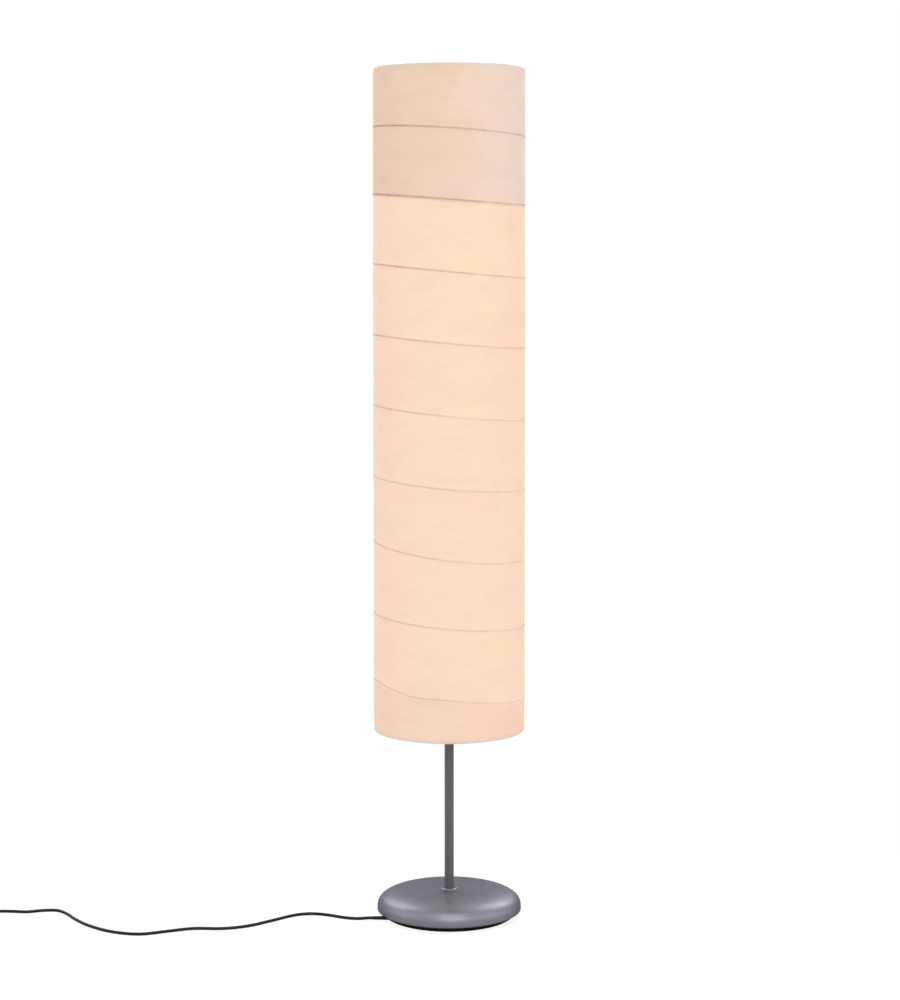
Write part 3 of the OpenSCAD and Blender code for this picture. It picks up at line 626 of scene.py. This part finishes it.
white_sleeving = Finish("white_sleeving")
white_sleeving.feed(
    Base_Color=white_sleeving.mixed(white_sleeving.noise(200), (0.66, 0.65, 0.61),
                                    (0.74, 0.73, 0.69)),
    Roughness=white_sleeving.ranged(white_sleeving.noise(600), 0.3, 0.7, 0.5, 0.62))
dress_nodes(white_sleeving, "stem_wires")

# ---- bulbs ----------------------------------------------------------------------------------
# A small globe of opal glass in each holder, which narrows in a waist to its screw cap. The
# cap is rolled from thin aluminium and turns into the holder's thread.

cap_low_z = 0.0163
cap_r, cap_h = 0.0069, 0.025
cap_outline = [
    (0, 0), (0.0024, 0), (0.003, 0.0006), (0.003, 0.0015), (0.0056, 0.0028), (0.0064, 0.0038),
    *ridges(cap_r, 0.0006, 0.0045, 0.0195, 6), (cap_r, 0.0205), (0.0066, 0.0212),
    (cap_r, 0.022), (cap_r, cap_h), (0, cap_h),
]
globe_r, neck_r, bulb_h = 0.0225, 0.0072, 0.072


def globe_outline(radius, neck, low, high):
    """A globe that runs down in a smooth waist to the width of its cap."""
    start, middle = radians(48), high - radius
    waist = [(0, low), (neck, low)]
    for k in range(12):
        u = k / 12
        ease = u * u * (3 - 2 * u)
        waist.append((neck + (radius * cos(start) - neck) * ease,
                      low + (middle - radius * sin(start) - low) * (0.25 + 0.75 * u)))
    ball = [-start + (radians(90) + start) * k / 40 for k in range(40)]
    return waist + [(radius * cos(a), middle + radius * sin(a)) for a in ball] + [(0, high)]


rolled_cap = Finish("rolled_aluminium", Metallic=1.0)
rolled_cap.feed(
    Base_Color=rolled_cap.mixed(rolled_cap.noise(150), (0.46, 0.46, 0.48), (0.60, 0.60, 0.62)),
    Roughness=rolled_cap.ranged(rolled_cap.noise(500), 0.3, 0.7, 0.34, 0.52))
opal = Finish("opal_glass", IOR=1.5, Emission_Strength=1.0, Roughness=0.22)
opal_cloud = opal.noise(40)
opal.feed(
    Base_Color=opal.mixed(opal_cloud, (0.42, 0.41, 0.38), (0.46, 0.45, 0.42)),
    Emission_Color=opal.mixed(opal_cloud, (0.46, 0.37, 0.27), (0.50, 0.41, 0.31)))

for i, name in enumerate(light_names):
    cap = turned(f"screw_cap_{name}", cap_outline, at_light(i, cap_low_z), steps=48,
                 crease=50)
    dress(cap, rolled_cap, "cap", f"bulb_{name}", f"bulb_cap_{name}")
    globe = turned(f"opal_globe_{name}", globe_outline(globe_r, neck_r, cap_h, bulb_h),
                   at_light(i, cap_low_z), steps=64, crease=60)
    dress(globe, opal, "globe", f"bulb_{name}", f"bulb_globe_{name}")

# ---- shade wire -----------------------------------------------------------------------------
# Two thick rims, cross arms with a pierced hub, and nine thin hoops, all in tan lacquered
# wire. The hoops were bent and set by hand, so each one leans in its own way.

tan_wire = Finish("tan_wire")
tan_wire.feed(
    Base_Color=tan_wire.mixed(tan_wire.noise(60), (0.36, 0.27, 0.19), (0.48, 0.37, 0.27)),
    Roughness=tan_wire.ranged(tan_wire.noise(400), 0.3, 0.7, 0.4, 0.55),
    Bump=tan_wire.noise(900) * 0.00005)
dress_nodes(tan_wire, "top_frame", "low_rim", "wire_hoops")
dress_nodes(brass, "shade_nut")

# ---- paper ----------------------------------------------------------------------------------
# Ten strips of thin handmade paper, pasted over the hoops. Each laps over the strip below it
# and closes on itself at the back. The lights inside make it glow, less so above the highest.

shade_r = 0.110
shade_low_z, shade_top_z = 0.275, 1.237
rim_r, rim_wire_r = 0.1079, 0.0015
hoop_heights = [0.337, 0.4395, 0.542, 0.640, 0.7409, 0.844, 0.9456, 1.048, 1.1454]
hoop_leans = [7, 5, 6.9, 5, 5.7, 5.3, 5.3, 4.3, 3.6]
hoop_nods = [0, 0.4, 3, 1.4, 0.2, 0.2, 0.4, 0.8, -0.5]
sag, sag_x, sag_w = 0.0035, -0.048, 0.026
rise, rise_x, rise_w = 0.004, -0.112, 0.02
paper_t = 0.00025
lap, tuck = 0.0035, 0.003
end_lap = 0.008
hem, hem_bend = 0.008, rim_wire_r + 0.00035
strip_columns, strip_rows = 200, 36


def hoop_height(i, x, y):
    """Height of the i-th hoop's plane over a point of the floor. The lowest hoop has a bend:
    it sags left of the front and rises at the left."""
    lean, nod = radians(hoop_leans[i]), radians(hoop_nods[i])
    height = hoop_heights[i] - x * tan(lean) + y * tan(nod) / cos(lean)
    if i == 0:
        in_front = min(max(-y / 0.04, 0), 1)
        height -= sag * in_front * exp(-((x - sag_x) / sag_w) ** 2)
        height += rise * in_front * exp(-((x - rise_x) / rise_w) ** 2)
    return height


def round_the_rim(past, height, way):
    """Where the paper goes past a rim's middle: round the wire and then along inside it."""
    turn = min(past / hem_bend, pi)
    beyond = max(past - pi * hem_bend, 0)
    return rim_r + hem_bend * cos(turn), height + way * (hem_bend * sin(turn) - beyond)


def paper_strip(i):
    """Strip i of the ten, from the lowest up, as a bmesh sheet wrapped round the hoops."""
    last = len(hoop_heights)
    low_rim_z, top_rim_z = shade_low_z + rim_wire_r, shade_top_z - rim_wire_r
    round_hem = pi * hem_bend + hem
    overlap = end_lap / shade_r
    start = radians(80 + 23 * (i % 3) - 9 * (i % 2))
    mesh = bmesh.new()
    bmesh.ops.create_grid(mesh, x_segments=strip_columns, y_segments=strip_rows, size=0.5)
    over_low = mesh.verts.layers.float.new("over_low")
    under_high = mesh.verts.layers.float.new("under_high")
    for v in mesh.verts:
        across, up = v.co.x + 0.5, 0.5 - 0.5 * cos(pi * (v.co.y + 0.5))
        angle = start + across * (tau + overlap)
        x, y = shade_r * cos(angle), shade_r * sin(angle)
        low = hoop_height(i - 1, x, y) - lap if i else low_rim_z - round_hem
        high = hoop_height(i, x, y) + tuck if i < last else top_rim_z + round_hem
        z = low + (high - low) * up
        v[over_low] = z - hoop_height(i - 1, x, y) if i else 1.0
        v[under_high] = hoop_height(i, x, y) - z if i < last else 1.0
        near = min(abs(v[over_low]), abs(v[under_high]))
        nearest_end = min(near, abs(z - shade_low_z), abs(z - shade_top_z))
        swell = 0.0002 * (1 - exp(-nearest_end / 0.018))
        over_hoop = 0.00028 * exp(-(near / 0.0013) ** 2)
        broad = 0.00035 * noise.noise(Vector((x, y, z * 1.6)) * 22 + Vector((i * 7, 0, 0)))
        fine = 0.00022 * noise.noise(Vector((x * 40, y * 40, z * 240)) + Vector((0, i * 5, 0)))
        over_strip = 0.0003 * (1 - up) ** 6 if i else 0
        past_start = (across * (tau + overlap) - tau) * shade_r
        over_start = 0.00035 * max(0, min(1, past_start / 0.002 + 1))
        radius = shade_r + swell + over_hoop
        radius += broad * min(nearest_end / 0.01, 1) + fine * exp(-nearest_end / 0.012)
        radius += over_strip
        radius += over_start
        if i == 0 and z < low_rim_z:
            radius, z = round_the_rim(low_rim_z - z, low_rim_z, -1)
        elif i == last and z > top_rim_z:
            radius, z = round_the_rim(z - top_rim_z, top_rim_z, 1)
        v.co = (radius * cos(angle), radius * sin(angle), z)
    bmesh.ops.recalc_face_normals(mesh, faces=mesh.faces)
    return mesh


def paper(name, left, right, glow):
    """Lit handmade paper. Part of its light falls on it, and the rest comes through from
    the lamps inside, as the glow. Its tone drifts from the left of the shade to the right,
    a painted change of light. It is greyer at the rims, where it is double: a painted shade,
    as the rim wire and the double paper hold back the lamps' light. Painted shadows of the
    hoop wires darken it along the seams."""
    sheet = Finish(name, IOR=1.35, Specular_IOR_Level=0.2, Emission_Strength=1.0, Roughness=0.85)
    across, height = (sheet.node("ShaderNodeSeparateXYZ", None, {0: sheet.place}, output=axis)
                      for axis in ("X", "Z"))
    clouds = sheet.ranged(sheet.noise(15, stretch=(1, 1, 1.7), detail=4), 0.35, 0.65, -0.45, 0.45)
    # Painted light: the paper's tone changes from the left of the shade to the right, as the
    # light across it does.
    colour = sheet.mixed(sheet.ranged(across + clouds * 0.06, -0.05, 0.11), left, right)
    for scale, share, tone in ((9, 0.9, (1.0, 0.965, 0.975)), (13, 0.8, (0.985, 1.0, 0.965)),
                               (20, 0.8, (0.965, 0.975, 1.0))):
        drift = sheet.noise(scale, stretch=(1, 1, 2.2), detail=2)
        colour = sheet.mixed(sheet.ranged(drift, 0.46, 0.68, 0, share), colour, tone, "MULTIPLY")
    fibres = sheet.noise(50, stretch=(1, 1, 11), detail=5, roughness=0.72)
    colour = sheet.mixed(sheet.ranged(fibres, 0.5, 0.66), colour, (0.985, 0.955, 0.94),
                         "MULTIPLY")
    # Painted shade at the rims: the paper is greyer where the rim wire and the double paper hold
    # back the lamps' light.
    to_rim = sheet.node("ShaderNodeMath", {"operation": "ABSOLUTE"}, {
        0: height - (shade_low_z + shade_top_z) / 2})
    to_rim = (shade_top_z - shade_low_z) / 2 - to_rim
    colour = sheet.mixed(sheet.ranged(to_rim, 0.0085, 0.002), colour, (0.88, 0.98, 1.04),
                         "MULTIPLY")
    # Painted shadows of the hoop wires, cast through the paper by the lamps inside: a dark line
    # along each seam, stronger on the left and towards the top.
    line = 0
    for layer in ("over_low", "under_high"):
        gap = sheet.node("ShaderNodeAttribute", {"attribute_name": layer}, output="Fac")
        gap = sheet.node("ShaderNodeMath", {"operation": "ABSOLUTE"}, {0: gap})
        line = sheet.ranged(gap, 0.0, 0.0022, 1, 0) + line
    wire_shadow_strength = sheet.ranged(across, 0.09, -0.09, 0.45, 0.85) + (sheet.noise(45, detail=2) - 0.5)
    line = line * wire_shadow_strength * sheet.ranged(height, 0.72, 1.02, 0.52, 1)
    dark = tuple(c * k for c, k in zip(left, (0.52, 0.44, 0.43)))
    lit = sheet.mixed(line, colour, dark)
    sheet.feed(
        Base_Color=sheet.mixed(glow, lit, (0, 0, 0)),
        Emission_Color=sheet.mixed(1 - glow, lit, (0, 0, 0)),
        Bump=fibres * 0.00012 + sheet.noise(700) * 0.00006)
    return sheet


# The lowest strip is painted a little dimmer, and the two highest dimmer still, as less of the
# lamps' light reaches them.
dimmer_low_paper = paper("dimmer_low_paper", (0.955, 0.690, 0.535), (0.965, 0.680, 0.520), 0.6)
lit_paper = paper("lit_paper", (0.985, 0.735, 0.562), (1.0, 0.742, 0.550), 0.6)
dim_paper = paper("dim_paper", (0.845, 0.625, 0.490), (0.880, 0.690, 0.585), 0.58)
for i in range(len(hoop_heights) + 1):
    strip = settled(f"paper_strip_{i + 1}", paper_strip(i), crease=180)
    wall = strip.modifiers.new("thickness", "SOLIDIFY")
    wall.thickness, wall.offset = paper_t, -1
    sheet = dimmer_low_paper if i == 0 else dim_paper if i > 7 else lit_paper
    dress(strip, sheet, "paper", "shade", f"paper_band_{i + 1}")

# ---- studio ---------------------------------------------------------------------------------
# A pale floor in white surroundings, with six soft lamps: one in front, one at each side,
# two behind and one overhead. Camera, mirror and glass rays see pure white, and the floor
# keeps a faint shadow.

scene = bpy.context.scene
scene.view_settings.view_transform = "Standard"
world = bpy.data.worlds.new("studio")
scene.world = world
world.use_nodes = True
tree = world.node_tree
tree.nodes.clear()


def joined(tree, kind, sockets=None, **settings):
    """Adds a node of the studio with its settings and the values or links of its sockets."""
    made = tree.nodes.new(kind)
    for name, value in settings.items():
        setattr(made, name, value)
    for name, value in (sockets or {}).items():
        if isinstance(value, bpy.types.NodeSocket):
            tree.links.new(value, made.inputs[name])
        else:
            made.inputs[name].default_value = value
    return made


def seen_white(tree):
    """1 for camera, glossy and transmission rays, and 0 for the light on the object."""
    rays = joined(tree, "ShaderNodeLightPath").outputs
    total = joined(tree, "ShaderNodeMath", {0: rays["Is Camera Ray"], 1: rays["Is Glossy Ray"]},
                   operation="ADD").outputs[0]
    return joined(tree, "ShaderNodeMath", {0: total, 1: rays["Is Transmission Ray"]},
                  operation="ADD", use_clamp=True).outputs[0]


ambient = joined(tree, "ShaderNodeBackground", {"Strength": 0.42}).outputs[0]
white = joined(tree, "ShaderNodeBackground", {"Strength": 1.0}).outputs[0]
for background in (ambient.node, white.node):
    background.inputs["Color"].default_value = (1, 1, 1, 1)
sky = joined(tree, "ShaderNodeMixShader", {0: seen_white(tree), 1: ambient, 2: white}).outputs[0]
joined(tree, "ShaderNodeOutputWorld", {"Surface": sky})

ground = bmesh.new()
bmesh.ops.create_grid(ground, x_segments=1, y_segments=1, size=30)
studio_floor = settled("studio_floor", ground)
pale = bpy.data.materials.new("pale_floor")
pale.use_nodes = True
tree = pale.node_tree
tree.nodes.clear()
plain = joined(tree, "ShaderNodeBsdfDiffuse", {"Color": (0.8, 0.8, 0.8, 1)}).outputs[0]
shadowed = joined(tree, "ShaderNodeBsdfDiffuse", {"Color": (0.2, 0.2, 0.2, 1)}).outputs[0]
lift = joined(tree, "ShaderNodeEmission", {"Strength": 0.86}).outputs[0]
near = joined(tree, "ShaderNodeAddShader", {0: shadowed, 1: lift}).outputs[0]
far = joined(tree, "ShaderNodeEmission", {"Strength": 1.0}).outputs[0]
place = joined(tree, "ShaderNodeTexCoord").outputs["Object"]
reach = joined(tree, "ShaderNodeVectorMath", {0: place}, operation="LENGTH").outputs["Value"]
share = joined(tree, "ShaderNodeMapRange",
               {"Value": reach, "From Min": 0.5, "From Max": 1.0}).outputs[0]
seen = joined(tree, "ShaderNodeMixShader", {0: share, 1: near, 2: far}).outputs[0]
camera_ray = joined(tree, "ShaderNodeLightPath").outputs["Is Camera Ray"]
surface = joined(tree, "ShaderNodeMixShader", {0: camera_ray, 1: plain, 2: seen}).outputs[0]
joined(tree, "ShaderNodeOutputMaterial", {"Surface": surface})
studio_floor.data.materials.append(pale)


def soft_lamp(name, place, towards, size, power):
    """A square soft lamp that faces a point."""
    lamp = bpy.data.objects.new(name, bpy.data.lights.new(name, "AREA"))
    lamp.data.size, lamp.data.energy = size, power
    lamp.location = place
    lamp.rotation_euler = (Vector(towards) - Vector(place)).to_track_quat("-Z", "Y").to_euler()
    scene.collection.objects.link(lamp)


soft_lamp("front_lamp", (0.3, -2.9, 2.0), (0, 0, 0.6), 1.8, 35)
soft_lamp("right_lamp", (2.4, -0.6, 1.3), (0, 0, 0.5), 2.2, 10)
soft_lamp("left_lamp", (-2.4, -0.4, 1.3), (0, 0, 0.5), 2.2, 11)
soft_lamp("back_right_lamp", (1.1, 1.9, 1.8), (0, 0, 0.1), 1.1, 20)
soft_lamp("back_left_lamp", (-1.2, 1.8, 1.8), (0, 0, 0.1), 1.1, 18)
soft_lamp("overhead_lamp", (0, -0.9, 2.9), (0, 0, 0), 1.4, 15)
